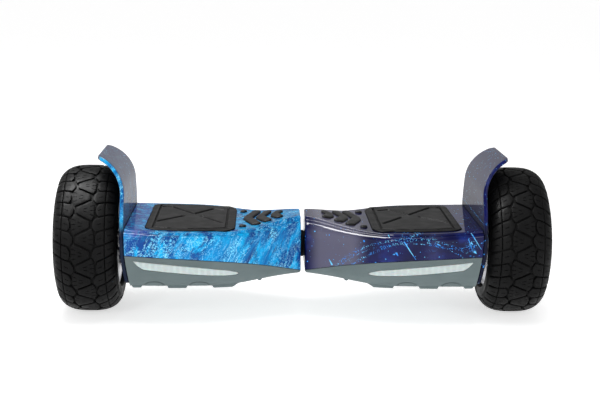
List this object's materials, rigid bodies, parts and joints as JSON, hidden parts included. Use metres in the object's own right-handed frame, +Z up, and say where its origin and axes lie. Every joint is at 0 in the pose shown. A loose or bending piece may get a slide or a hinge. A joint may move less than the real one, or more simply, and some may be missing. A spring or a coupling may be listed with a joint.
{
  "type": "self-balancing hoverboard",
  "caption": "Self-balancing scooter board: two halves twisting on a central pivot, hub-motor wheels with knobbly tyres, sprung foot pads, fenders and front lights.",
  "frame": {"origin": "on the floor, midway between the wheels and under the wheel axle", "axes": "+X along the wheel axle towards the right wheel (night-sky side), +Y towards the rear, the side with the charging socket and power button, so the lights face -Y, +Z up"},
  "size_m": [0.7, 0.2192, 0.2346],
  "materials": {
    "blue_print": "clear gloss over a printed water pattern",
    "night_print": "clear gloss over a printed night-sky pattern",
    "grey_plastic": "satin",
    "lens": "translucent white, satin",
    "rubber": "satin",
    "tyre": "moulded rubber with a slight sheen",
    "black_plastic": "satin",
    "cast_aluminium": "as cast",
    "hub_metal": "satin silver",
    "steel": "machined",
    "bronze": "machined",
    "circuit_board": "satin",
    "battery_wrap": "shrink wrap"
  },
  "bodies": {
    "left_half": {"battery_cable": "black_plastic", "battery_pack": "battery_wrap", "charge_port": "black_plastic", "left_arrow_pad": "rubber", "left_axle": "steel", "left_axle_clamp": "cast_aluminium", "left_bottom_cover": "grey_plastic", "left_clamp_screw_front": "steel", "left_clamp_screw_rear": "steel", "left_fender": "blue_print", "left_frame": "cast_aluminium", "left_light_board": "circuit_board", "left_light_lens": "lens", "left_motor_cable": "black_plastic", "left_motor_stator": "steel", "left_sensor_board": "circuit_board", "left_top_cover": "blue_print", "pivot_dust_seal": "rubber", "pivot_retaining_ring": "steel", "pivot_shaft": "steel"},
    "right_half": {"control_board": "circuit_board", "pivot_bush_inner": "bronze", "pivot_bush_outer": "bronze", "right_arrow_pad": "rubber", "right_axle": "steel", "right_axle_clamp": "cast_aluminium", "right_bottom_cover": "grey_plastic", "right_clamp_screw_front": "steel", "right_clamp_screw_rear": "steel", "right_fender": "night_print", "right_frame": "cast_aluminium", "right_light_board": "circuit_board", "right_light_lens": "lens", "right_motor_cable": "black_plastic", "right_motor_stator": "steel", "right_sensor_board": "circuit_board", "right_top_cover": "night_print"},
    "left_wheel": {"left_tyre": "tyre", "left_motor_rotor": "cast_aluminium", "left_magnet_ring": "steel", "left_hub_inner_cover": "hub_metal", "left_hub_outer_cover": "hub_metal", "left_inner_bearing": "steel", "left_outer_bearing": "steel", "left_valve_stem": "black_plastic"},
    "left_foot_pad": {"left_foot_pad": "rubber"},
    "right_wheel": {"right_tyre": "tyre", "right_motor_rotor": "cast_aluminium", "right_magnet_ring": "steel", "right_hub_inner_cover": "hub_metal", "right_hub_outer_cover": "hub_metal", "right_inner_bearing": "steel", "right_outer_bearing": "steel", "right_valve_stem": "black_plastic"},
    "right_foot_pad": {"right_foot_pad": "rubber"},
    "power_button": {"power_button": "black_plastic"},
    "charge_port_cap": {"charge_port_cap": "rubber"}
  },
  "joints": [
    {"name": "central_pivot", "type": "hinge", "parent": "left_half", "child": "right_half", "pos_m": [0, 0, 0.0985], "axis": [1, 0, 0], "range_deg": [-11, 11]},
    {"name": "left_wheel_spin", "type": "hinge", "parent": "left_half", "child": "left_wheel", "pos_m": [-0.304, 0, 0.1055], "axis": [1, 0, 0], "continuous": true},
    {"name": "right_wheel_spin", "type": "hinge", "parent": "right_half", "child": "right_wheel", "pos_m": [0.304, 0, 0.1055], "axis": [1, 0, 0], "continuous": true},
    {"name": "left_foot_pad_press", "type": "slide", "parent": "left_half", "child": "left_foot_pad", "axis": [0, 0, -1], "range_m": [0, 0.0015], "stiffness_N_per_m": 12000, "springref_m": -0.0005},
    {"name": "right_foot_pad_press", "type": "slide", "parent": "right_half", "child": "right_foot_pad", "axis": [0, 0, -1], "range_m": [0, 0.0015], "stiffness_N_per_m": 12000, "springref_m": -0.0005},
    {"name": "power_button_press", "type": "slide", "parent": "right_half", "child": "power_button", "axis": [0, -1, 0], "range_m": [0, 0.001], "stiffness_N_per_m": 1200, "springref_m": -0.0005},
    {"name": "charge_port_cap_hinge", "type": "hinge", "parent": "left_half", "child": "charge_port_cap", "pos_m": [-0.12, 0.0918, 0.0858], "axis": [1, 0, 0], "range_deg": [0, 75]}
  ]
}
